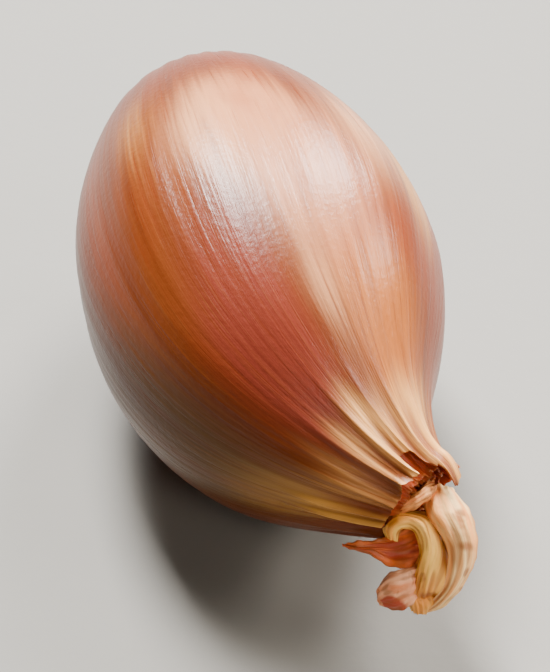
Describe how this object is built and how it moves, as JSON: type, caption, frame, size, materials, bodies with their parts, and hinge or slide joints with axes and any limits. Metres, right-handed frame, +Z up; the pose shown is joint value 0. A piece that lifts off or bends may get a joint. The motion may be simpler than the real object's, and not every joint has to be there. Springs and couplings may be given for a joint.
{
  "type": "shallot",
  "caption": "Long brown-skinned shallot bulb lying on its side, with a pleated, torn skin collar, curled dried leaf bases at the neck and a tuft of dried rootlets.",
  "frame": {"origin": "centre of the small flat spot that the bulb rests on", "axes": "+X along the bulb from the root end to the neck, +Y the side that the neck bends to, +Z up"},
  "size_m": [0.0829, 0.0414, 0.041],
  "materials": {
    "bulb_skin": "thin dry copper-brown papery skin, semi-gloss, with fine lengthwise veins",
    "dried_leaf": "curled dry leaf base, cream to golden with red-brown torn ends, matt",
    "dried_root": "dry fibrous root plate and rootlets, straw to dark brown, matt"
  },
  "bodies": {
    "root": {"bulb": "bulb_skin", "neck_leaves": "dried_leaf", "root_plate": "dried_root"}
  },
  "joints": []
}
